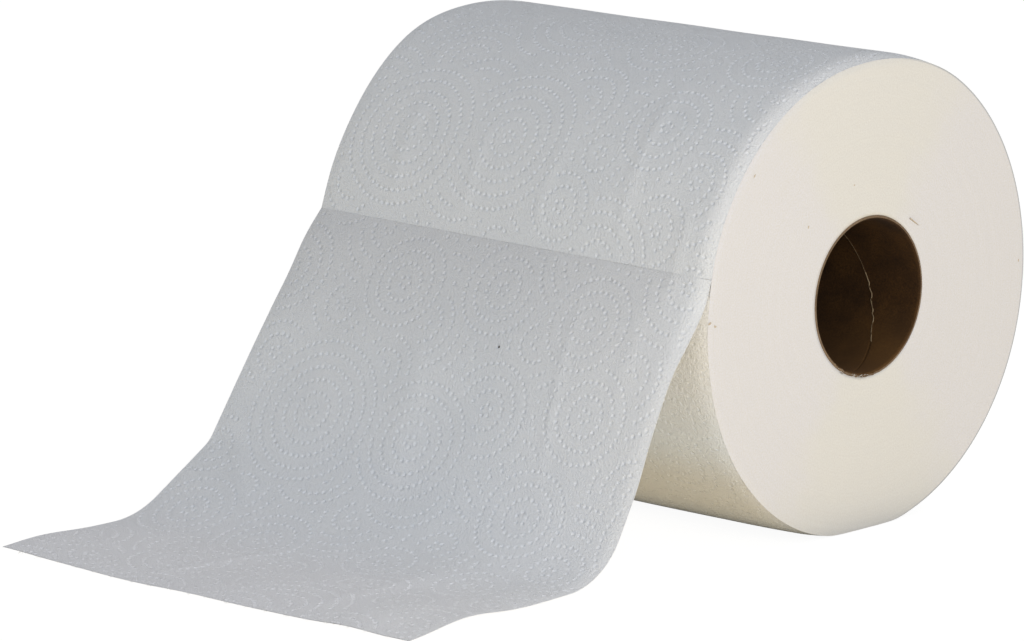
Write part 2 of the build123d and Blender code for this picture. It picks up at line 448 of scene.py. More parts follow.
def bond(x):
    """1 in the middle of a bond and on the crushed rims, and 0 along a slit."""
    from_slit = np.abs((x + BOND_PITCH / 2) % BOND_PITCH - BOND_PITCH / 2)
    on_rim = 1 - smooth(*LIP_ENDS, HALF_WIDTH - np.abs(x))
    half_slit = SLIT_LENGTH / 2
    return np.maximum(smooth(half_slit - BOND_START, half_slit + BOND_FULL, from_slit), on_rim)


def lip(s, x):
    """How far the edges of the open perforation stand out or in."""
    return LIP_RISE * smooth(-LIP_RUN, 0, s) * (s <= 0) * (1 - bond(x))


def torn_tabs(s, x):
    """How far the bonds' torn halves stick out of the torn end."""
    at_end = s > SHEET_LENGTH - 1e-4
    return at_end * TAB_LENGTH * bond(x) * (1 - TAB_UNEVEN + TAB_UNEVEN * np.sin(x * TAB_WAVE))


print("bonds across the web:", int(2 * HALF_WIDTH // BOND_PITCH))

# %% [markdown]
# ## The embossing
# Steel rollers press dots into the tissue, so that two plies hold together and soak up more.
# Here the dots stand in rings: small full medallions lie over wide ones, of which only arcs
# show. The layout is a plain staggered grid with a little disorder. A dot is left out where a
# medallion of higher rank covers it.

# %% Lay out the medallions
EMBOSS_SEED = 29
ROW_PITCH, COLUMN_PITCH, ROW_SHIFT, DISORDER = 43.0, 56.0, 6.0, 6.0
FIRST_ROW, LAST_ROW, COLUMNS = -17, 6, 5
GRID_START, GRID_SIDE = 0.55, 14.0  # the first row's place in its pitch, and the grid's shift sideways
FIRST_RING, RING_PITCH, DOT_PITCH, RING_GAP = 2.6, 5.8, 3.1, 4.6
NEIGHBOURS = 80.0  # mm, past which one medallion can't cover another


def lay_out_medallions():
    """Rows of (s, x, number of rings, rank), small ones on the grid and wide ones between."""
    random = np.random.default_rng(EMBOSS_SEED)
    laid = []
    for row in range(FIRST_ROW, LAST_ROW + 1):
        for column in range(COLUMNS):
            s = (row + GRID_START) * ROW_PITCH
            x = (column - (COLUMNS - 1) / 2) * COLUMN_PITCH + ROW_SHIFT * (1 if row % 2 else -1) + GRID_SIDE
            shift = random.uniform(-DISORDER, DISORDER, 4)
            laid.append((s + shift[0], x + shift[1], random.choice([3, 4, 4]), 1 + random.random()))
            laid.append((s + shift[2] + ROW_PITCH / 2, x + shift[3] + COLUMN_PITCH / 2,
                         random.choice([5, 6, 6]), random.choice([0, 0, 1]) + random.random()))
    return laid


medallions = lay_out_medallions()
print(len(medallions), "medallions")


# %% Place the dots
def place_dots(laid):
    """The s and x of every dot that no higher medallion covers."""
    random = np.random.default_rng(EMBOSS_SEED + 1)
    kept = []
    for s0, x0, rings, rank in laid:
        above = [(s1, x1, FIRST_RING + RING_PITCH * (rings1 - 1) + RING_GAP)
                 for s1, x1, rings1, rank1 in laid
                 if rank1 > rank and abs(s1 - s0) < NEIGHBOURS and abs(x1 - x0) < NEIGHBOURS]
        for ring in range(rings):
            radius = FIRST_RING + RING_PITCH * ring
            count = max(4, round(2 * math.pi * radius / DOT_PITCH))
            turn = random.uniform(0, 6) + np.arange(count) * 2 * math.pi / count
            s, x = s0 + radius * np.cos(turn), x0 + radius * np.sin(turn)
            free = np.ones(count, bool)
            for s1, x1, reach in above:
                free &= np.hypot(s - s1, x - x1) > reach
            kept.append(np.stack([s, x], -1)[free])
    return np.concatenate(kept)


dots = place_dots(medallions)
laid_area = 2 * HALF_WIDTH * ROW_PITCH * (LAST_ROW - FIRST_ROW + 1)
print(len(dots), "dots, one in", round(laid_area / len(dots), 1), "mm2")

# %% [markdown]
# ## From dots to a mesh
# Each dot must be real geometry, or it would vanish from the side and in the shadows. A grid
# fine enough for dots of two millimetres would need millions of faces. So points are
# put only where the shape needs them: a centre and a ring for each dot, close rows along the
# edges, and a wide pattern between. A Delaunay triangulation joins them all in under a second.

# %% Points for a stretch of web
DOT_RADIUS, DOT_DEPTH = 1.35, 1.02
FILLER_PITCH, CLEARANCE = 4.6, 1.9
ROW_SHARE = 0.87  # an even pattern of triangles has its rows this share of the pitch apart
END_MARGIN, SIDE_MARGIN = 1.4, 1.6  # mm between a dot's middle and a stretch's border
EDGE_ROWS = [(0.0, 0.85), (0.7, 1.3), (1.7, 1.8), (3.0, 2.2), (4.6, 2.6)]  # distance in and spacing, mm


def web_points(s_from, s_to, rings):
    """Flat points (s, x), the depth pressed in at each and its slope along s and across x.

    A dot is a soft cosine dent. Its rings are pairs: their share of the dot's radius and how
    many points they have.
    """
    inside = (dots[:, 0] > s_from + END_MARGIN) & (dots[:, 0] < s_to - END_MARGIN)
    here = dots[inside & (np.abs(dots[:, 1]) < HALF_WIDTH - SIDE_MARGIN)]
    points, dents = [here], [np.tile((DOT_DEPTH, 0.0, 0.0), (len(here), 1))]
    for share, count in rings:
        depth = DOT_DEPTH * (1 + math.cos(math.pi * share)) / 2
        steepness = DOT_DEPTH * math.pi / (2 * DOT_RADIUS) * math.sin(math.pi * share)
        for turn in np.arange(count) * 2 * math.pi / count + share:
            out = np.array([math.cos(turn), math.sin(turn)])
            points.append(here + DOT_RADIUS * share * out)
            dents.append(np.tile((depth, *(-steepness * out)), (len(here), 1)))
    tree = KDTree(len(here))
    for number, (s, x) in enumerate(here):
        tree.insert((s, x, 0), number)
    tree.balance()
    extra = []
    for inset, spacing in EDGE_ROWS:
        edge = HALF_WIDTH - inset
        for s in np.linspace(s_from + inset, s_to - inset, int((s_to - s_from) / spacing) + 1):
            extra += [(s, side * edge) for side in (-1, 1)]
        for x in np.linspace(-edge, edge, int(2 * HALF_WIDTH / spacing) + 1)[1:-1]:
            extra += [(s_from + inset, x), (s_to - inset, x)]
    margin = EDGE_ROWS[-1][0] + FILLER_PITCH / 2
    for row, s in enumerate(np.arange(s_from + margin, s_to - margin, FILLER_PITCH * ROW_SHARE)):
        first = -HALF_WIDTH + margin + (row % 2) * FILLER_PITCH / 2
        extra += [(s, x) for x in np.arange(first, HALF_WIDTH - margin, FILLER_PITCH)]
    extra = np.array(extra)
    on_border = (extra[:, 0] <= s_from) | (extra[:, 0] >= s_to) | (np.abs(extra[:, 1]) >= HALF_WIDTH)
    far_from_dots = np.array([tree.find((s, x, 0))[2] > CLEARANCE for s, x in extra])
    extra = extra[on_border | far_from_dots]
    points.append(extra)
    dents.append(np.zeros((len(extra), 3)))
    return np.concatenate(points), np.concatenate(dents)


# %% Object from points and faces
def add_object(name, points_mm, faces, material, uv=None, normals=None):
    """A smooth mesh object from points in millimetres, riding on the roll's body."""
    mesh = bpy.data.meshes.new(name)
    mesh.from_pydata((np.asarray(points_mm) * MM).tolist(), [], faces)
    mesh.polygons.foreach_set("use_smooth", [True] * len(mesh.polygons))
    if uv is not None:
        corners = np.empty(len(mesh.loops), np.int32)
        mesh.loops.foreach_get("vertex_index", corners)
        mesh.uv_layers.new(name="web").data.foreach_set("uv", (uv[corners] * MM).astype(np.float32).ravel())
    mesh.materials.append(material)
    mesh.update()
    if normals is not None:
        mesh.normals_split_custom_set_from_vertices(normals.tolist())
    made = bpy.data.objects.new(name, mesh)
    bpy.context.collection.objects.link(made)
    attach(made, BODY)
    print(name, len(mesh.vertices), "points,", sum(len(face) - 2 for face in faces), "triangles")
    return made


# %% Shape of an embossed stretch
FLAT_BLEND = 1.0  # mm
PRESSED_FLAT = 0.6  # how much shallower the dots are where another turn lay on them
PRESSED_ENDS = (60.0 - TURN_LENGTH, 140.0 - TURN_LENGTH)
DOTS_FADE = (0.5, 4.5)  # mm from the edge, where handling has rubbed the dots out
SLOPE_STEP = 0.2  # mm


def rest_on_table(points):
    """Soften the corner where the round paper turns into its flat spot on the table."""
    z = points[:, 2]
    points[:, 2] = (z + np.sqrt(z * z + FLAT_BLEND ** 2)) / 2
    return points


def web_frame(s, x):
    """The web's own directions at each point: along it, across it and out of its outer face."""
    out = web_normals(s, x)
    across = np.broadcast_to([1.0, 0.0, 0.0], out.shape)
    across = across - out * (out * across).sum(-1, keepdims=True)
    across = across / np.linalg.norm(across, axis=-1, keepdims=True)
    return np.cross(across, out), across, out


def embossed(s, x, dents):
    """Points of the embossed web, its smooth normals, and the directions out of the bare web."""
    covered = 1 - smooth(*PRESSED_ENDS, s)
    dents = dents * (smooth(*DOTS_FADE, HALF_WIDTH - np.abs(x)) * (1 - PRESSED_FLAT * covered))[:, None]
    shift = relief(s, x) + lip(s, x) - dents[:, 0]
    along, across, out = web_frame(s, x)
    points = bare_web(s + torn_tabs(s, x), x) + out * shift[:, None]
    points[:, 0] -= np.sign(x) * rim_inset(s, x) * rim_share(x) ** 2
    d = SLOPE_STEP
    slope_s = (relief(s + d, x) - relief(s - d, x)) / (2 * d) - dents[:, 1]
    slope_x = (relief(s, x + d) - relief(s, x - d)) / (2 * d) - dents[:, 2]
    normals = out - along * slope_s[:, None] - across * slope_x[:, None]
    return points, normals / np.linalg.norm(normals, axis=-1, keepdims=True), out


# %% Mesh for an embossed stretch
SIDEWAYS = 0.7  # a border face whose direction has more of x than this lies on the web's side edge


def thickened(points, normals, out, uv, faces, gauge):
    """The sheet with a back face of the same shape, and a border of four-sided faces."""
    count = len(points)
    edges = np.array([(face[i], face[(i + 1) % 3]) for face in faces for i in range(3)])
    names = np.sort(edges, 1) @ [count, 1]
    first, uses = np.unique(names, return_index=True, return_counts=True)[1:]
    a, b = edges[first[uses == 1]].T
    outward = np.cross(points[b] - points[a], out[a])
    outward = outward / np.linalg.norm(outward, axis=-1, keepdims=True)
    outward = np.where(np.abs(outward[:, :1]) > SIDEWAYS, outward, out[a])
    back = points - out * gauge
    border = np.stack([points[b], points[a], back[a], back[b]], 1).reshape(-1, 3)
    border_uv = np.stack([uv[b], uv[a], uv[a], uv[b]], 1).reshape(-1, 2)
    faces = faces + [(j + count, i + count, h + count) for h, i, j in faces]
    faces += [(n, n + 1, n + 2, n + 3) for n in range(2 * count, 2 * count + 4 * len(a), 4)]
    normals = np.concatenate([normals, -normals, np.repeat(outward, 4, 0)])
    return np.concatenate([points, back, border]), normals, np.concatenate([uv, uv, border_uv]), faces


def web_mesh(name, s_from, s_to, rings, material, gauge=0.0):
    """An embossed stretch of the web as one mesh, with a back face where it has a gauge."""
    flat, dents = web_points(s_from, s_to, rings)
    made = delaunay_2d_cdt([Vector(point) for point in flat.tolist()], [], [], 0, 1e-6)
    flat = np.array([tuple(point) for point in made[0]])
    dents = dents[[sources[0] for sources in made[3]]]
    points, normals, out = embossed(flat[:, 0], flat[:, 1], dents)
    uv, faces = flat[:, ::-1], made[2]
    if gauge:
        points, normals, uv, faces = thickened(points, normals, out, uv, faces, gauge)
    return add_object(name, rest_on_table(points), faces, material, uv, normals)


print("each dot is", 2 * DOT_RADIUS, "mm wide and", DOT_DEPTH, "mm deep")

# %% [markdown]
# ## Tissue paper
# Real wipers are two plies of creped, embossed tissue of bleached pulp. To the eye that is a
# matt, slightly cool white with a fine, uneven crepe, and soft clouds where the fibres lie
# thicker. The colours are near white, the roughness is that of paper, and its index of
# refraction is the usual 1.5. The embossed dots are in the mesh, so the bump holds only the
# crepe, too fine for faces. Real crepe ridges stand about 0.3 mm apart, which is smaller than a
# pixel here, so they are drawn at 0.9 mm and higher. Thin tissue lets light through, and that
# light and shade are painted into the colour: a painted shade where the loose sheet hangs over
# the dark wedge behind the perforation, and painted light where it lies on the bright table.
# The roll's front is painted paler where light comes through the loose sheet, and gets a painted
# shade below. Towards the loose sheet's near edge, and along the roll's near rim over the top,
# the paper is painted whiter, a painted light.

# %% Zones of the web
PAPER_IOR = 1.5
# What each zone follows, along the web (Y of its UV map) or across it (X); where it starts and
# ends, in mm; how strong it is there; and how evenly it changes.
# Each zone places painted light or painted shade in the tissue's colour.
ZONES = {
    "over_wedge": ("Y", (0, 60), (0.75, 0.0), "LINEAR"),
    "off_rim": ("X", (90, 104), (1.0, 0.0), "LINEAR"),
    "lying": ("Y", (120, 190), (0.0, 1.0), "SMOOTHSTEP"),
    "towards_edge": ("X", (20, 109), (0.0, 0.6), "LINEAR"),
    "below_fold": ("Y", (-60, 30), (0.1, 1.0), "LINEAR"),
    "edge_strip": ("X", (97, 107), (0.0, 0.75), "LINEAR"),
    "over_top": ("Y", (-170, -80), (0.0, 1.0), "LINEAR"),
    "lit_through": ("Y", (-592, -535), (1.0, 0.0), "SMOOTHSTEP"),
    "behind_sheet": ("Y", (-548, -518), (0.0, 1.0), "SMOOTHSTEP"),
    "above_table": ("Y", (-505, -470), (1.0, 0.0), "LINEAR"),
}


def per_mm(size):
    """The texture scale that draws one feature per this many millimetres."""
    return 1 / (size * MM)


def web_zones(tree, web_uv):
    """The strength of each zone, and 1 on the loose sheet but 0 on the roll."""
    split = add_node(tree, "ShaderNodeSeparateXYZ", {"Vector": web_uv})
    zones = {}
    for name, (axis, (start, end), (at_start, at_end), rise) in ZONES.items():
        zones[name] = add_node(tree, "ShaderNodeMapRange", {
            "Value": split.outputs[axis], "From Min": start * MM, "From Max": end * MM,
            "To Min": at_start, "To Max": at_end}, interpolation_type=rise).outputs[0]
    loose = add_node(tree, "ShaderNodeMath", {0: split.outputs["Y"], 1: 0.0}, operation="GREATER_THAN")
    return zones, loose.outputs[0]


print(len(ZONES), "zones on the web")


# %% Material: creped tissue
CREPE_PITCH, CREPE_HEIGHT, CLOUD_SIZE = 0.9, 0.62, 24.0  # mm

tissue, tree = new_material("creped_tissue_paper")
web_uv = add_node(tree, "ShaderNodeUVMap", uv_map="web").outputs["UV"]
zones, loose = web_zones(tree, web_uv)
held_off = add_node(tree, "ShaderNodeMath", {0: loose, 1: zones["off_rim"]}, operation="MULTIPLY")
# Painted shade: the loose sheet is greyer just below the perforation, over the dark wedge behind it.
painted_wedge_shade = add_node(tree, "ShaderNodeMath", {0: zones["over_wedge"], 1: held_off.outputs[0]},
                  operation="MULTIPLY")
# Painted light: whiter towards the loose sheet's near edge, and along the roll's near rim over the top.
painted_light_near_edge = add_node(tree, "ShaderNodeMath", {0: zones["towards_edge"], 1: zones["below_fold"]},
                   operation="MULTIPLY")
on_rim = add_node(tree, "ShaderNodeMath", {0: zones["edge_strip"], 1: zones["over_top"]},
                  operation="MULTIPLY")
painted_edge_light = add_node(tree, "ShaderNodeMath", {0: painted_light_near_edge.outputs[0], 1: on_rim.outputs[0]},
                  operation="MAXIMUM")
shaded = add_node(tree, "ShaderNodeMath", {0: zones["behind_sheet"], 1: zones["above_table"]},
                  operation="MULTIPLY")
clouds = add_node(tree, "ShaderNodeTexNoise", {
    "Vector": web_uv, "Scale": per_mm(CLOUD_SIZE), "Detail": 3.0}, noise_dimensions="2D")
colour = add_node(tree, "ShaderNodeMix", {
    MIX_FACTOR: clouds.outputs[0], MIX_A: linear("E1E7EF"), MIX_B: linear("E8EDF4")},
    data_type="RGBA").outputs[MIX_RESULT]
# Painted shade over the wedge; painted light on the table, towards the near edge and through the sheet;
# painted shade low on the roll.
for share, tone in ((painted_wedge_shade.outputs[0], "D6DAE1"), (zones["lying"], "EFF2F9"), (painted_edge_light.outputs[0], "F5F8FD"),
                    (zones["lit_through"], "FAF8F4"), (shaded.outputs[0], "DAD9D6")):
    colour = add_node(tree, "ShaderNodeMix", {MIX_FACTOR: share, MIX_A: colour, MIX_B: linear(tone)},
                      data_type="RGBA").outputs[MIX_RESULT]
crepe = add_node(tree, "ShaderNodeTexNoise", {
    "Vector": web_uv, "Scale": per_mm(CREPE_PITCH), "Detail": 2.0, "Roughness": 0.6}, noise_dimensions="2D")
fine = add_node(tree, "ShaderNodeBump", {
    "Height": crepe.outputs[0], "Strength": 1.0, "Distance": CREPE_HEIGHT * MM})
paper = add_node(tree, "ShaderNodeBsdfPrincipled", {
    "Base Color": colour, "Roughness": 0.92, "IOR": PAPER_IOR, "Specular IOR Level": 0.3,
    "Normal": fine.outputs[0]})
add_node(tree, "ShaderNodeOutputMaterial", {"Surface": paper.outputs[0]})
print("crepe drawn at", CREPE_PITCH, "mm")

# %% [markdown]
# ## The side of the roll
# The outermost turn is all that shows of the wound paper's side. It starts under the loose
# sheet, goes once round the roll and ends at the perforation. It is made as two pieces that
# meet under the roll, on the table, because one mesh of all its dots would be very large.

# %% Wind the outer turn
HIDDEN_START = 12.0  # mm of the outer turn that lie under its own end
TURN_START = -LEAVE_RUN - TURN_LENGTH - HIDDEN_START
UNDERSIDE = -LEAVE_RUN - (LEAVE_ANGLE + math.pi / 2) * ROLL_RADIUS
DOT_RINGS = [(0.6, 6), (1.0, 6)]  # one ring of points for a dot's slope and one for its brim
roll_back = web_mesh("outer_turn_back", TURN_START, UNDERSIDE, DOT_RINGS, tissue)
roll_front = web_mesh("outer_turn_front", UNDERSIDE, 0.0, DOT_RINGS, tissue)
for piece in (roll_back, roll_front):
    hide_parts("paper_web")

# %% [markdown]
# ## The loose sheet
# One wiper, 220 by 228 mm. It gets a back face of the same shape and a rim between the two, so
# dents on the front are bumps on the back, as in real embossed paper. It starts just behind the
# lip of the perforation, so that the slits show paper and not a gap.

# %% Hang the loose sheet
SHEET_GAUGE = 0.18  # the two soft plies with the air between them, mm
SHEET_START = 0.001  # mm past the perforation, so that the whole sheet counts as loose
SHEET_RINGS = [(0.6, 6), (1.0, 7)]
loose_sheet = web_mesh("loose_sheet", SHEET_START, SHEET_LENGTH, SHEET_RINGS, tissue, SHEET_GAUGE)
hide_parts("paper_web")

# %% [markdown]
# ## The cut ends
# A saw cuts the rolls from a wide log, and the face it leaves is the edges of hundreds of turns.
# It is nearly flat: a fine spiral, a faint coil line where the winding tension changed and a
# little unevenness. Rings of points round the axis suit it, because all of that runs in circles.
# The outer ring follows the crushed rim of the side exactly.

# %% Points of a cut end
BORE_RADIUS, BORE_LIP = 33.1, 3.0
LINE_PITCH, LINE_DEPTH, LINE_WIDTH = 9.0, 0.05, 1.4
RIPPLE_DEPTH, RIPPLE_RATE = 0.02, 0.9  # faint rings
SWELL_DEPTH, SWELL_TWIST = 0.05, 0.13  # and two faint hills that turn with the radius
FACE_SPOKES, FACE_RINGS, FACE_CROWDING = 720, 70, 1.6  # the rings crowd towards the rim
FACE_INSET, FACE_ROUNDING = 0.12, 3.5
CLING_ANGLE = math.radians(8)  # how far the edge of the leaving sheet still follows the round face
OUTER_PLY, PLY_SIDE = (0.3, 0.8), (0.1, 0.5)  # mm in from the rim, and cosines of the angle at the back


def on_outer_turn(angle):
    """The outer turn's place s at an angle from +Y towards +Z."""
    since = (angle - LEAVE_ANGLE - CLING_ANGLE) % (2 * math.pi) - 2 * math.pi
    return (since + CLING_ANGLE) * ROLL_RADIUS - LEAVE_RUN


def outer_radius(angle, side):
    """The rim's radius on the near cut end, side 1, or on the far one, side -1."""
    s, x = on_outer_turn(angle), side * HALF_WIDTH
    return side_radius(angle, (s + LEAVE_RUN) / ROLL_RADIUS, x) + relief(s, x + 0 * s)


def face_depth(angle, radius, side):
    """How far the face lies inside the web's full width."""
    coil = (radius - BORE_RADIUS) / LINE_PITCH - (angle - LEAVE_ANGLE) / (2 * math.pi)
    from_line = np.abs(coil % 1.0 - 0.5) * LINE_PITCH
    groove = LINE_DEPTH * (1 - smooth(0, LINE_WIDTH, from_line))
    uneven = (RIPPLE_DEPTH * np.sin(radius * RIPPLE_RATE + side)
              + SWELL_DEPTH * np.sin(2 * angle + radius * SWELL_TWIST))
    from_rim = outer_radius(angle, side) - radius
    crushed = rim_inset(on_outer_turn(angle), side) - FACE_INSET
    rounded = crushed * np.clip(1 - from_rim / FACE_ROUNDING, 0, 1) ** 2
    return FACE_INSET + (groove + uneven) * smooth(0, FACE_ROUNDING, from_rim) + rounded


def round_axis(along, radius, angle):
    """Points at these places along the roll's axis, and round it."""
    return np.stack([along + 0 * angle, radius * np.cos(angle), AXIS_HEIGHT + radius * np.sin(angle)], -1)


def ring_faces(rings, spokes, inward):
    """Four-sided faces between rings of points, seen from +X or from inside the rings."""
    faces = []
    for ring in range(rings):
        for spoke in range(spokes):
            a, b = ring * spokes + spoke, ring * spokes + (spoke + 1) % spokes
            quad = (a, a + spokes, b + spokes, b)
            faces.append(quad if inward else quad[::-1])
    return faces


def cut_end(name, side, material):
    """One cut face of the wound paper, with a short lip into the core's hole."""
    angle = np.arange(FACE_SPOKES) * 2 * math.pi / FACE_SPOKES
    rim = outer_radius(angle, side)
    rings, ply = [round_axis(side * (HALF_WIDTH - BORE_LIP), BORE_RADIUS, angle)], [0 * angle]
    for share in 1 - np.linspace(1, 0, FACE_RINGS) ** FACE_CROWDING:
        radius = BORE_RADIUS + (rim - BORE_RADIUS) * share
        rings.append(round_axis(side * (HALF_WIDTH - face_depth(angle, radius, side)), radius, angle))
        ply.append((1 - smooth(*OUTER_PLY, rim - radius)) * smooth(*PLY_SIDE, np.cos(angle)))
    points = rest_on_table(np.concatenate(rings))
    made = add_object(name, points, ring_faces(FACE_RINGS, FACE_SPOKES, side > 0), material)
    made.data.attributes.new("outer_ply", "FLOAT", "POINT").data.foreach_set("value", np.concatenate(ply))
    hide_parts("paper_web")


print("rim radius at the top:", round(float(outer_radius(np.array(math.pi / 2), 1)), 2))

# %% [markdown]
# ## Sawn tissue
# The saw turns the tissue's edges into a felt of loose fibre ends. It looks warmer than the
# sheet, because light goes deeper between the edges, and it shines differently along the turns
# than across them. That sheen is painted into the colour as a soft bow tie: the top and bottom
# of the face are painted creamier, and the left and right greyer, a painted sheen. Real turns
# are 0.3 mm apart, so the rings are drawn at 0.9 mm, and the fibre grain at 0.7 mm. At the back
# the outermost ply stands free of the rest, and its edge is a fine grey line.

# %% Material: sawn tissue edges
SAW_GRAIN, TURN_RINGS, PATCH_SIZE, SAW_RELIEF = 0.7, 0.9, 16.0, 0.16  # mm
BOW_EDGE, BOW_JITTER = (0.36, 0.72), 0.2  # shares of the way from the top of the face to its side

sawn, tree = new_material("sawn_tissue_edges")
place = add_node(tree, "ShaderNodeTexCoord").outputs["Object"]
centred = add_node(tree, "ShaderNodeMapping", {"Vector": place, "Location": (0, 0, -AXIS_HEIGHT * MM)})
parts = add_node(tree, "ShaderNodeSeparateXYZ", {"Vector": centred.outputs[0]})
flat_place = add_node(tree, "ShaderNodeCombineXYZ", {"Y": parts.outputs["Y"], "Z": parts.outputs["Z"]})
radius = add_node(tree, "ShaderNodeVectorMath", {0: flat_place.outputs[0]}, operation="LENGTH")
sideways = add_node(tree, "ShaderNodeMath", {0: parts.outputs["Y"], 1: radius.outputs["Value"]},
                    operation="DIVIDE")
size = add_node(tree, "ShaderNodeMath", {0: sideways.outputs[0]}, operation="ABSOLUTE")
patches = add_node(tree, "ShaderNodeTexNoise", {"Vector": place, "Scale": per_mm(PATCH_SIZE), "Detail": 3.0})
jitter = add_node(tree, "ShaderNodeMapRange", {
    "Value": patches.outputs[0], "To Min": -BOW_JITTER, "To Max": BOW_JITTER})
wobbly = add_node(tree, "ShaderNodeMath", {0: size.outputs[0], 1: jitter.outputs[0]}, operation="ADD")
bow = add_node(tree, "ShaderNodeMapRange", {
    "Value": wobbly.outputs[0], "From Min": BOW_EDGE[0], "From Max": BOW_EDGE[1]},
    interpolation_type="SMOOTHSTEP")
# Painted sheen: creamier at the top and bottom of the face, greyer at its sides.
painted_sheen_bow_tie = add_node(tree, "ShaderNodeMix", {
    MIX_FACTOR: bow.outputs[0], MIX_A: linear("EBEBE9"), MIX_B: linear("EAEAF1")}, data_type="RGBA")
grain = add_node(tree, "ShaderNodeTexNoise", {
    "Vector": place, "Scale": per_mm(SAW_GRAIN), "Detail": 2.0, "Roughness": 0.6})
turns = add_node(tree, "ShaderNodeTexNoise", {
    "W": radius.outputs["Value"], "Scale": per_mm(TURN_RINGS), "Detail": 2.0}, noise_dimensions="1D")
weak = add_node(tree, "ShaderNodeMapRange", {"Value": turns.outputs[0], "To Min": 0.42, "To Max": 0.58})
felt = add_node(tree, "ShaderNodeMath", {0: grain.outputs[0], 1: weak.outputs[0]}, operation="ADD")
shade = add_node(tree, "ShaderNodeMapRange", {
    "Value": felt.outputs[0], "From Min": 0.75, "From Max": 1.25, "To Max": 0.8})
felted = add_node(tree, "ShaderNodeMix", {
    MIX_FACTOR: shade.outputs[0], MIX_A: painted_sheen_bow_tie.outputs[MIX_RESULT], MIX_B: linear("E0DEDB")},
    data_type="RGBA")
ply = add_node(tree, "ShaderNodeAttribute", attribute_name="outer_ply")
colour = add_node(tree, "ShaderNodeMix", {
    MIX_FACTOR: ply.outputs["Fac"], MIX_A: felted.outputs[MIX_RESULT], MIX_B: linear("B9BDC3")},
    data_type="RGBA")
rough_cut = add_node(tree, "ShaderNodeBump", {
    "Height": felt.outputs[0], "Strength": 0.6, "Distance": SAW_RELIEF * MM})
edge_paper = add_node(tree, "ShaderNodeBsdfPrincipled", {
    "Base Color": colour.outputs[MIX_RESULT], "Roughness": 0.95, "IOR": PAPER_IOR,
    "Specular IOR Level": 0.25, "Normal": rough_cut.outputs[0]})
add_node(tree, "ShaderNodeOutputMaterial", {"Surface": edge_paper.outputs[0]})

cut_end("wound_roll_end_near", 1, sawn)
cut_end("wound_roll_end_far", -1, sawn)

# %% [markdown]
# ## The core
# The core is board, wound as a spiral from narrow plies of grey-brown kraft pulp. Inside, the
# last ply's seam runs along a helix. For its first stretch it is a neat pale line where one ply
# overlaps the next, then it frays, and near the open end it gapes. The mesh's columns follow
# that helix, so that the seam is made by moving the few columns of points beside it.

# %% Shape of the core's inside
CORE_RADIUS, CORE_WALL, EDGE_BEVEL = 33.0, 1.5, 0.6
INNER_RADIUS = CORE_RADIUS - CORE_WALL
SEAM_ANGLE, SEAM_X, SEAM_TURN = math.radians(32.8), 73.6, math.radians(-4.16)  # helix: radians per mm
# The columns by the seam: how far each one is from it round the wall, and how far it is pressed out
SEAM_COLUMNS = [(-0.9, 0.0), (-0.35, 0.0), (-0.12, -0.22), (0.12, -0.30), (0.40, 0.06), (1.0, 0.0)]
NEAR_SEAM, BESIDE_SEAM = 0.5, 1.1  # which columns the gape and the fraying move, mm round the wall
FRAY_STARTS, FRAY_ENDS, GAPE_STARTS = (80.0, 84.0), (92.5, 93.5), (92.5, 94.5)  # x in mm
FRAY_ASIDE, FRAY_DEEP = 0.22, 0.06  # mm
SEAM_GAPE, NEAR_SPREAD, BESIDE_SPREAD = 1.4, 2.0, 0.25  # its depth in mm, and how far it parts
PLAIN_START = math.radians(3)  # the even columns keep clear of the seam
CORE_ROWS, CORE_COLUMNS, CORE_SEED = 360, 96, 5
RAGGED_MIDDLE, RAGGED_REACH = math.radians(-106), (0.62, 0.2)  # where the saw tore the board
RAGGED_WAVES = [(0.45, 41, 0), (0.35, 97, 1)]  # height in mm, number round the edge, and phase


def ragged(angle):
    """How far the sawn board's edge is torn back or stands out at its lower side, in mm."""
    away = np.abs((angle - RAGGED_MIDDLE + math.pi) % (2 * math.pi) - math.pi)
    teeth = sum(height * np.sin(angle * number + phase) for height, number, phase in RAGGED_WAVES)
    return smooth(*RAGGED_REACH, away) * teeth


def core_inside():
    """Points and faces of the inner wall, in columns that follow the seam."""
    random = np.random.default_rng(CORE_SEED)
    rows_x = np.linspace(-HALF_WIDTH, HALF_WIDTH, CORE_ROWS)
    plain = np.linspace(PLAIN_START, 2 * math.pi - PLAIN_START, CORE_COLUMNS)
    columns = [(arc / INNER_RADIUS, rise) for arc, rise in SEAM_COLUMNS] + [(angle, 0.0) for angle in plain]
    columns.sort(key=lambda column: column[0])
    turns, rises = np.array(columns).T
    frays = smooth(*FRAY_STARTS, rows_x) * (1 - smooth(*FRAY_ENDS, rows_x)) * random.normal(0, 1, CORE_ROWS)
    near = np.abs(turns * INNER_RADIUS) < NEAR_SEAM
    beside = ~near & (np.abs(turns * INNER_RADIUS) < BESIDE_SEAM)
    points = []
    for row, (x, fray, gape) in enumerate(zip(rows_x, frays, smooth(*GAPE_STARTS, rows_x))):
        shift = near * (fray * FRAY_ASIDE / INNER_RADIUS + gape * turns * NEAR_SPREAD)
        shift = shift + beside * gape * turns * BESIDE_SPREAD
        deep = rises * (1 - gape) + near * (gape * SEAM_GAPE + fray * FRAY_DEEP)
        at_end = row in (0, CORE_ROWS - 1)
        angle = SEAM_ANGLE + SEAM_TURN * (x - SEAM_X) + turns + shift
        torn = ragged(angle) if row == CORE_ROWS - 1 else 0.0
        points.append(round_axis(x + torn, INNER_RADIUS + deep + EDGE_BEVEL * at_end, angle))
    return np.concatenate(points), ring_faces(CORE_ROWS - 1, len(columns), True)


print("seam at", round(math.degrees(SEAM_ANGLE)), "degrees where x is", SEAM_X, "mm")

# %% [markdown]
# ## Kraft board
# Unbleached board is dark brown and matt, with short fibres pressed flat. The saw cut is paler
# and greyer, because it shows the middle of the board and catches paper dust. Fibres are about
# 0.03 mm wide, so the grain is drawn at 0.8 mm.

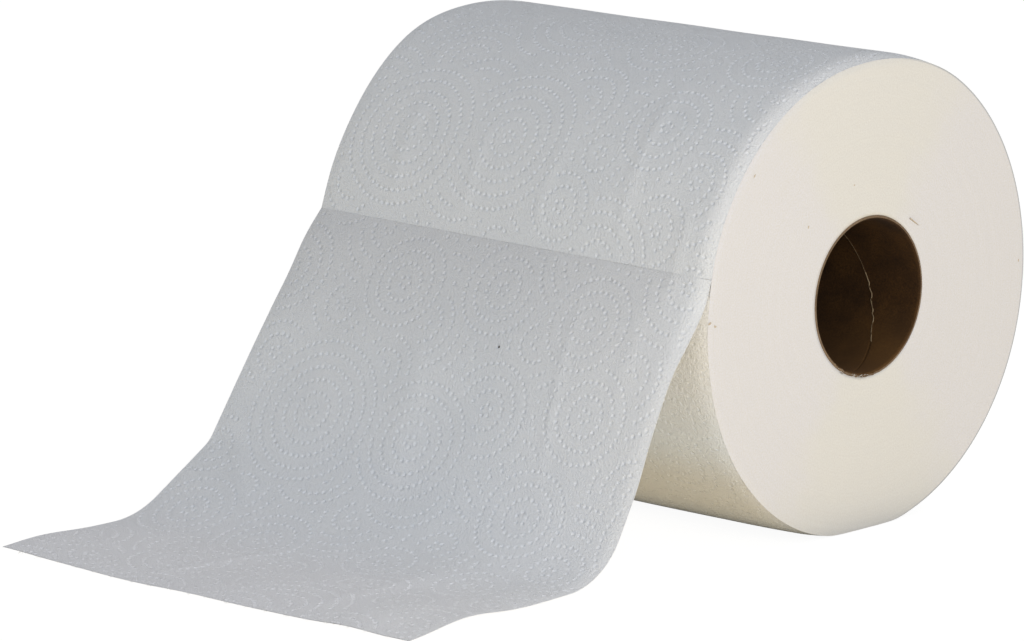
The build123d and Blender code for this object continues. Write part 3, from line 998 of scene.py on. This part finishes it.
# %% Materials: kraft board and its sawn edge
PAINTED_LIGHT_TONE, PAINTED_LIGHT_BELOW, PAINTED_LIGHT_PAST = "8C6638", (8.0, 30.0), (60.0, 106.0)  # a painted light, paler low down near the open end: mm under the axis, and along it
STAIN_SIZE, BOARD_RELIEF = 14.0, 0.12  # mm


def board_material(name, dark, light, grain_mm, painted_light=0.0):
    """Matt board with a mottled colour of two browns, and painted light low down near the open end."""
    material, tree = new_material(name)
    place = add_node(tree, "ShaderNodeTexCoord").outputs["Object"]
    fibres = add_node(tree, "ShaderNodeTexNoise", {
        "Vector": place, "Scale": per_mm(grain_mm), "Detail": 3.0, "Roughness": 0.65})
    stains = add_node(tree, "ShaderNodeTexNoise", {
        "Vector": place, "Scale": per_mm(STAIN_SIZE), "Detail": 2.0})
    both = add_node(tree, "ShaderNodeMath", {0: fibres.outputs[0], 1: stains.outputs[0]},
                    operation="MULTIPLY")
    factor = add_node(tree, "ShaderNodeMapRange", {
        "Value": both.outputs[0], "From Min": 0.12, "From Max": 0.42})
    brown = add_node(tree, "ShaderNodeMix", {
        MIX_FACTOR: factor.outputs[0], MIX_A: linear(dark), MIX_B: linear(light)}, data_type="RGBA")
    parts = add_node(tree, "ShaderNodeSeparateXYZ", {"Vector": place})
    # Painted light: the colour turns paler low down inside the core, near the open end.
    low = add_node(tree, "ShaderNodeMapRange", {
        "Value": parts.outputs["Z"], "From Min": (AXIS_HEIGHT - PAINTED_LIGHT_BELOW[0]) * MM,
        "From Max": (AXIS_HEIGHT - PAINTED_LIGHT_BELOW[1]) * MM, "To Max": painted_light})
    out = add_node(tree, "ShaderNodeMapRange", {
        "Value": parts.outputs["X"], "From Min": PAINTED_LIGHT_PAST[0] * MM, "From Max": PAINTED_LIGHT_PAST[1] * MM})
    painted_light_share = add_node(tree, "ShaderNodeMath", {0: low.outputs[0], 1: out.outputs[0]}, operation="MULTIPLY")
    colour = add_node(tree, "ShaderNodeMix", {
        MIX_FACTOR: painted_light_share.outputs[0], MIX_A: brown.outputs[MIX_RESULT], MIX_B: linear(PAINTED_LIGHT_TONE)},
        data_type="RGBA")
    rough = add_node(tree, "ShaderNodeBump", {
        "Height": fibres.outputs[0], "Strength": 0.5, "Distance": BOARD_RELIEF * MM})
    board = add_node(tree, "ShaderNodeBsdfPrincipled", {
        "Base Color": colour.outputs[MIX_RESULT], "Roughness": 0.88, "IOR": PAPER_IOR,
        "Specular IOR Level": 0.3, "Normal": rough.outputs[0]})
    add_node(tree, "ShaderNodeOutputMaterial", {"Surface": board.outputs[0]})
    return material


kraft = board_material("kraft_board", "2A1807", "513616", 0.8, 0.34)
sawn_board = board_material("sawn_kraft_board", "6B5743", "94806A", 0.6)
torn_board = board_material("torn_board_ply", "8C7A60", "A8967A", 0.5)
print("kinds of board:", kraft.name, sawn_board.name, torn_board.name)


# %% Shape of the core's ends and of its seam
SHELL_COLUMNS, SHELL_CORNER = CORE_COLUMNS * 3, 0.2
SEAM_START, SEAM_END, SEAM_ROWS = 2 - HALF_WIDTH, 93.5, 760
SEAM_WIDTH, SEAM_HEIGHT, SEAM_BED = 0.18, 0.42, 0.02  # mm, and how far its edges stand off the wall
SEAM_TOOTH, SEAM_JAG, SEAM_SWELL = 0.6, 0.6, 1.6  # the frayed stretch: its teeth, jags and width
TOOTH_SIZES = (0.4, 1.8)


def core_shell():
    """Points and faces of the sawn rings and the outside of the core."""
    angle = np.arange(SHELL_COLUMNS) * 2 * math.pi / SHELL_COLUMNS
    profile = [(INNER_RADIUS + EDGE_BEVEL, 0.0), (CORE_RADIUS - SHELL_CORNER, 0.0),
               (CORE_RADIUS, SHELL_CORNER)]
    rings = [(-1, radius, inset) for radius, inset in profile] + [(1, *corner) for corner in profile[::-1]]
    points = [round_axis(side * (HALF_WIDTH - inset) + (ragged(angle) if side > 0 else 0), radius, angle)
              for side, radius, inset in rings]
    return np.concatenate(points), ring_faces(len(rings) - 1, SHELL_COLUMNS, False)


def seam_edge():
    """The pale torn edge of the last ply, as a ribbon along the seam that frays towards its end."""
    random = np.random.default_rng(CORE_SEED + 1)
    rows_x = np.linspace(SEAM_START, SEAM_END, SEAM_ROWS)
    knots = np.arange(-HALF_WIDTH, HALF_WIDTH, SEAM_TOOTH)
    wander = np.interp(rows_x, knots, random.uniform(-1, 1, len(knots)))
    thick = np.interp(rows_x, knots, random.uniform(*TOOTH_SIZES, len(knots)))
    points = []
    for x, frayed, aside, size in zip(rows_x, smooth(*FRAY_STARTS, rows_x), wander, thick):
        half = SEAM_WIDTH / 2 * (1 + SEAM_SWELL * frayed * size)
        angle = np.full(3, SEAM_ANGLE + SEAM_TURN * (x - SEAM_X))
        across = x + np.array([-half, 0, half]) + SEAM_JAG * frayed * aside
        points.append(round_axis(across, INNER_RADIUS - np.array([SEAM_BED, SEAM_HEIGHT, SEAM_BED]), angle))
    faces = [(row * 3 + c, (row + 1) * 3 + c, (row + 1) * 3 + c + 1, row * 3 + c + 1)
             for row in range(SEAM_ROWS - 1) for c in range(2)]
    return np.concatenate(points), faces


print("the seam shows from x", SEAM_START, "to", SEAM_END, "mm")


# %% Build the core
core = add_object("core_board_inside", *core_inside(), kraft)
core_edge = add_object("core_board_shell", *core_shell(), sawn_board)
seam = add_object("core_board_seam", *seam_edge(), torn_board)
for piece in (core, core_edge, seam):
    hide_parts("core_tube")

# %% [markdown]
# ## Fibres and flecks
# Where paper or board was torn, fibres stick out. Each one is a thin, three-sided, tapered
# spike with a bend, a few tenths of a millimetre wide, and hundreds of them cost little. The
# cut end also carries a few brown flecks of recycled fibre, which are small bent chips, and one
# straw. The loose sheet has a single dark speck.

# %% Shape of a fibre
FIBRE_SEED = 17
FIBRE_STEPS, FIBRE_SIDES, FIBRE_BEND, FIBRE_TAPER = 3, 3, 0.25, 0.6


def spikes(name, roots, directions, lengths, widths, material, seed):
    """Thin tapered fibres as one mesh. Each has its root, its direction, its length and width."""
    random = np.random.default_rng(seed)
    points, faces = [], []
    turns = np.arange(FIBRE_SIDES) * 2 * math.pi / FIBRE_SIDES
    for root, direction, length, width in zip(roots, directions, lengths, widths):
        root, ahead = np.array(root), np.array(direction, float) / np.linalg.norm(direction)
        aside = np.cross(ahead, random.normal(0, 1, 3))
        aside /= np.linalg.norm(aside)
        third = np.cross(ahead, aside)
        bend = random.normal(0, FIBRE_BEND, 3) * length
        first = len(points)
        for share in np.arange(FIBRE_STEPS) / FIBRE_STEPS:
            centre = root + ahead * length * share + bend * share * share
            reach = width / 2 * (1 - share * FIBRE_TAPER)
            points += [centre + (aside * math.cos(turn) + third * math.sin(turn)) * reach for turn in turns]
        points.append(root + ahead * length + bend)
        tip = first + FIBRE_STEPS * FIBRE_SIDES
        for a in range(first, tip - FIBRE_SIDES, FIBRE_SIDES):
            for c in range(FIBRE_SIDES):
                after = (c + 1) % FIBRE_SIDES
                faces.append((a + c, a + after, a + FIBRE_SIDES + after, a + FIBRE_SIDES + c))
        faces += [(tip - FIBRE_SIDES + c, tip - FIBRE_SIDES + (c + 1) % FIBRE_SIDES, tip)
                  for c in range(FIBRE_SIDES)]
    return add_object(name, rest_on_table(np.array(points)), faces, material)


print("a fibre has", FIBRE_STEPS * FIBRE_SIDES + 1, "points")


# %% Fibres at the torn end and at the perforation
ROOT_DEPTH, ROOT_SPREAD = 0.15, 0.6  # how deep in the paper a root lies, mm, and how wide fibres fan out
TUFTS = range(-11, 11)  # one tuft at each bond
TUFT_MARGIN, TISSUE_FIBRE_WIDTH = 0.5, 0.12  # mm
TORN_ROOTS, OPEN_ROOTS = SHEET_LENGTH - 0.2, -0.1  # the s at which the fibres of the two rows start


def along_web(s_values, x_values, tilt, seed):
    """Roots on the web and directions that leave it."""
    s, x = np.array(s_values, float), np.array(x_values, float)
    normals = web_normals(s, x)
    roots = bare_web(s, x) + normals * (relief(s, x) - ROOT_DEPTH)[:, None]
    ahead = np.minimum(s + 1, SHEET_LENGTH)
    down = bare_web(ahead, x) - bare_web(ahead - 1, x)
    spread = np.random.default_rng(seed).normal(0, ROOT_SPREAD, roots.shape)
    return roots, down + normals * tilt + spread


def bond_tufts(name, s, count, half_tuft, tilt, lengths, seed):
    """A tuft of fibres at each bond of a perforation."""
    middles = [np.full(count, (n + 0.5) * BOND_PITCH) for n in TUFTS]
    x = np.concatenate([middle + random.uniform(-half_tuft, half_tuft, count) for middle in middles])
    x = x[np.abs(x) < HALF_WIDTH - TUFT_MARGIN]
    roots, directions = along_web(np.full(len(x), s), x, tilt, seed)
    made = spikes(name, roots, directions, random.uniform(*lengths, len(x)),
                  np.full(len(x), TISSUE_FIBRE_WIDTH), tissue, seed)
    return made


random = np.random.default_rng(FIBRE_SEED)
torn_fibres = bond_tufts("torn_end_fibres", TORN_ROOTS, count=9, half_tuft=1.3, tilt=0.1,
                         lengths=(0.6, 1.8), seed=FIBRE_SEED)
bond_fibres = bond_tufts("perforation_fibres", OPEN_ROOTS, count=4, half_tuft=1.6, tilt=0.8,
                         lengths=(0.4, 1.3), seed=FIBRE_SEED + 1)

# %% Fibres of the board's torn edge
BOARD_FIBRES, BOARD_TUFTS, TUFT_SPREAD = 60, [-104, -97, -92, -120], 2.2  # degrees round the core
BOARD_ROOTS = (CORE_RADIUS - 1.0, CORE_RADIUS + 0.4)  # the radii between which they start, in mm
BOARD_LENGTHS, BOARD_WIDTHS, BOARD_ROOT_DEPTH = (0.5, 1.6), (0.15, 0.35), 0.1  # mm
angles = np.radians(random.choice(BOARD_TUFTS, BOARD_FIBRES) + random.normal(0, TUFT_SPREAD, BOARD_FIBRES))
radii = random.uniform(*BOARD_ROOTS, BOARD_FIBRES)
directions = np.stack([random.uniform(0.1, 0.5, BOARD_FIBRES), random.normal(0, 1, BOARD_FIBRES),
                       random.normal(-0.1, 0.35, BOARD_FIBRES)], -1)
roots = round_axis(HALF_WIDTH - BOARD_ROOT_DEPTH, radii, angles)
board_fibres = spikes("board_edge_fibres", roots, directions, random.uniform(*BOARD_LENGTHS, BOARD_FIBRES),
                      random.uniform(*BOARD_WIDTHS, BOARD_FIBRES), sawn, FIBRE_SEED + 2)

# %% Shape of a fleck, and the flecks' materials
FLECK_RISE, FLECK_CORNERS, FLECK_REACH = 0.25, 8, (0.7, 1.2)  # mm, and shares of its size


def fleck_mesh(centre, long_side, short_side, out, seed):
    """Points and faces of one chip: an uneven ring and a raised middle."""
    reach = np.random.default_rng(seed).uniform(*FLECK_REACH, FLECK_CORNERS)
    turns = np.arange(FLECK_CORNERS) * 2 * math.pi / FLECK_CORNERS
    ring = [centre + (long_side * math.cos(turn) + short_side * math.sin(turn)) * share
            for turn, share in zip(turns, reach)]
    fan = [(n, (n + 1) % FLECK_CORNERS, FLECK_CORNERS) for n in range(FLECK_CORNERS)]
    return ring + [centre + out * FLECK_RISE], fan


def fleck_material(name, tone):
    """Matt pulp of one colour."""
    material, tree = new_material(name)
    flake = add_node(tree, "ShaderNodeBsdfPrincipled", {
        "Base Color": linear(tone), "Roughness": 0.9, "IOR": PAPER_IOR})
    add_node(tree, "ShaderNodeOutputMaterial", {"Surface": flake.outputs[0]})
    return material


fleck_paper = fleck_material("brown_fibre_fleck", "CDBFAC")
speck_paper = fleck_material("dark_pulp_speck", "3E3A36")
print("a fleck stands", FLECK_RISE, "mm out")

# %% Flecks on the cut end and on the sheet
FLECKS = [  # on the near end: y and z from the axis, half length, half width and turn, in mm and radians
    (-95.0, 2.9, 0.9, 0.6, 0.3), (-91.9, 1.2, 0.8, 0.5, -0.4), (-37.3, 33.5, 0.8, 0.5, 0.9),
    (-9.8, 46.8, 0.6, 0.3, 0.2), (-69.6, 58.2, 0.9, 0.35, 0.8), (94.6, 1.5, 0.7, 0.4, 1.3),
]
STRAW_ROOT, STRAW_RUN, STRAW_WIDTH = (24.5, 28.9), (5.0, -3.2), 0.9  # on the near end too, y and z
STRAW_TILT = 0.02  # how far its tip stands out beyond its root
FLECK_LIFT, STRAW_LIFT = 0.05, 0.1  # how far clear of the paper they lie, mm
SPECK_S, SPECK_X, SPECK_RADIUS, SPECK_SEED = 44.0, 19.0, 0.5, 7
END_FACE = HALF_WIDTH - FACE_INSET

points, faces = [], []
for number, (y, z, half_long, half_short, turn) in enumerate(FLECKS):
    long_side = np.array([0, math.cos(turn), math.sin(turn)]) * half_long
    short_side = np.array([0, -math.sin(turn), math.cos(turn)]) * half_short
    centre = np.array([END_FACE + FLECK_LIFT, y, AXIS_HEIGHT + z])
    ring, fan = fleck_mesh(centre, long_side, short_side, np.array([1.0, 0, 0]), number)
    faces += [[corner + len(points) for corner in face] for face in fan]
    points += ring
end_flecks = add_object("end_flecks", points, faces, fleck_paper)
straw_root = (END_FACE + STRAW_LIFT, STRAW_ROOT[0], AXIS_HEIGHT + STRAW_ROOT[1])
straw = spikes("straw_fibre", [straw_root], [(STRAW_TILT, *STRAW_RUN)], [math.hypot(*STRAW_RUN)],
               [STRAW_WIDTH], fleck_paper, FIBRE_SEED + 3)
place, across = np.array([SPECK_S]), np.array([SPECK_X])
along_axis, across_axis, out_axis = (axis[0] for axis in web_frame(place, across))
centre = bare_web(place, across)[0] + out_axis * (relief(place, across)[0] + FLECK_LIFT)
ring, fan = fleck_mesh(centre, along_axis * SPECK_RADIUS, across_axis * SPECK_RADIUS, out_axis, SPECK_SEED)
speck = add_object("dark_speck", ring, fan, speck_paper)
